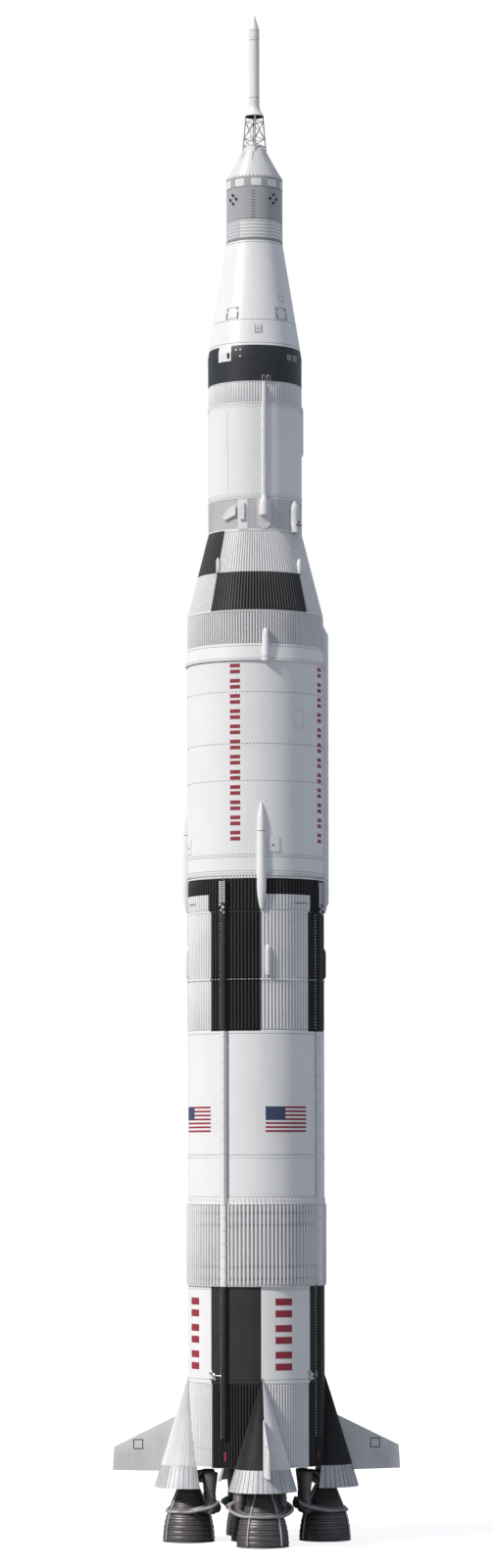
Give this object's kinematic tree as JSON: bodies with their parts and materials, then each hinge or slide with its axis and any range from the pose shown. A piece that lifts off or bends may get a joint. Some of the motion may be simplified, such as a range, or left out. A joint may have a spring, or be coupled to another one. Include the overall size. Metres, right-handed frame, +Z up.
{
  "type": "space rocket, scale model at 1:10",
  "caption": "Tall three-stage moon rocket in black and white, with fins, engine fairings, an escape tower and swivelling outer engines.",
  "frame": {"origin": "on the floor under the rocket's axis, at the level of the nozzle lips", "axes": "+Z up along the rocket's axis, -Y to the front that the picture shows, one pair of fins along X and one along Y"},
  "size_m": [2.092, 2.092, 11.058],
  "materials": {
    "white_paint": "satin white paint",
    "black_paint": "matt black paint",
    "grey_paint": "matt light grey paint",
    "silver_paint": "satin silver paint",
    "bare_metal": "bare brushed metal",
    "nozzle_metal": "dark heat-stained metal",
    "engine_metal": "grey engine metal"
  },
  "bodies": {
    "rocket": {"escape_nose_cone": "white_paint", "escape_motor": "white_paint", "escape_skirt": "white_paint", "escape_tower": "white_paint", "boost_cover": "white_paint", "service_module": "silver_paint", "spacecraft_adapter": "white_paint", "instrument_ring": "black_paint", "third_stage_forward_skirt": "white_paint", "third_stage_tank": "white_paint", "third_stage_aft_skirt": "grey_paint", "third_stage_tunnel": "white_paint", "attitude_pod_1": "grey_paint", "attitude_pod_2": "grey_paint", "upper_interstage": "white_paint", "second_stage_forward_skirt": "grey_paint", "second_stage_collar": "white_paint", "collar_fairing": "white_paint", "second_stage_tank": "white_paint", "second_stage_tunnel": "white_paint", "feed_line_fairing_1": "white_paint", "feed_line_fairing_2": "white_paint", "feed_line_fairing_3": "white_paint", "feed_line_fairing_4": "white_paint", "feed_line_fairing_5": "white_paint", "second_stage_aft_skirt": "black_paint", "lower_interstage": "white_paint", "first_stage_forward_skirt": "black_paint", "first_stage_oxidizer_tank": "white_paint", "first_stage_intertank": "grey_paint", "first_stage_fuel_tank": "white_paint", "first_stage_tail": "black_paint", "first_stage_tunnel_1": "white_paint", "first_stage_tunnel_2": "white_paint", "first_stage_tunnel_3": "white_paint", "first_stage_tunnel_4": "white_paint", "engine_fairing_1": "white_paint", "engine_fairing_2": "white_paint", "engine_fairing_3": "white_paint", "engine_fairing_4": "white_paint", "fin_1": "grey_paint", "fin_2": "grey_paint", "fin_3": "grey_paint", "fin_4": "grey_paint", "thrust_chamber_centre": "nozzle_metal", "turbopump_centre": "engine_metal"},
    "gimbal_1": {"gimbal_cross_1": "bare_metal"},
    "gimbal_2": {"gimbal_cross_2": "bare_metal"},
    "gimbal_3": {"gimbal_cross_3": "bare_metal"},
    "gimbal_4": {"gimbal_cross_4": "bare_metal"},
    "engine_1": {"thrust_chamber_1": "nozzle_metal", "turbopump_1": "engine_metal"},
    "engine_2": {"thrust_chamber_2": "nozzle_metal", "turbopump_2": "engine_metal"},
    "engine_3": {"thrust_chamber_3": "nozzle_metal", "turbopump_3": "engine_metal"},
    "engine_4": {"thrust_chamber_4": "nozzle_metal", "turbopump_4": "engine_metal"}
  },
  "joints": [
    {"name": "engine_1_inward", "type": "hinge", "parent": "rocket", "child": "gimbal_1", "pos_m": [0, -0.4955, 0.53], "axis": [1, 0, 0], "range_deg": [-5.15, 5.15]},
    {"name": "engine_1_sideways", "type": "hinge", "parent": "gimbal_1", "child": "engine_1", "pos_m": [0, -0.4955, 0.53], "axis": [0, -1, 0], "range_deg": [-5.15, 5.15]},
    {"name": "engine_2_inward", "type": "hinge", "parent": "rocket", "child": "gimbal_2", "pos_m": [0.4955, 0, 0.53], "axis": [0, 1, 0], "range_deg": [-5.15, 5.15]},
    {"name": "engine_2_sideways", "type": "hinge", "parent": "gimbal_2", "child": "engine_2", "pos_m": [0.4955, 0, 0.53], "axis": [1, 0, 0], "range_deg": [-5.15, 5.15]},
    {"name": "engine_3_inward", "type": "hinge", "parent": "rocket", "child": "gimbal_3", "pos_m": [0, 0.4955, 0.53], "axis": [-1, 0, 0], "range_deg": [-5.15, 5.15]},
    {"name": "engine_3_sideways", "type": "hinge", "parent": "gimbal_3", "child": "engine_3", "pos_m": [0, 0.4955, 0.53], "axis": [0, 1, 0], "range_deg": [-5.15, 5.15]},
    {"name": "engine_4_inward", "type": "hinge", "parent": "rocket", "child": "gimbal_4", "pos_m": [-0.4955, 0, 0.53], "axis": [0, -1, 0], "range_deg": [-5.15, 5.15]},
    {"name": "engine_4_sideways", "type": "hinge", "parent": "gimbal_4", "child": "engine_4", "pos_m": [-0.4955, 0, 0.53], "axis": [-1, 0, 0], "range_deg": [-5.15, 5.15]}
  ]
}
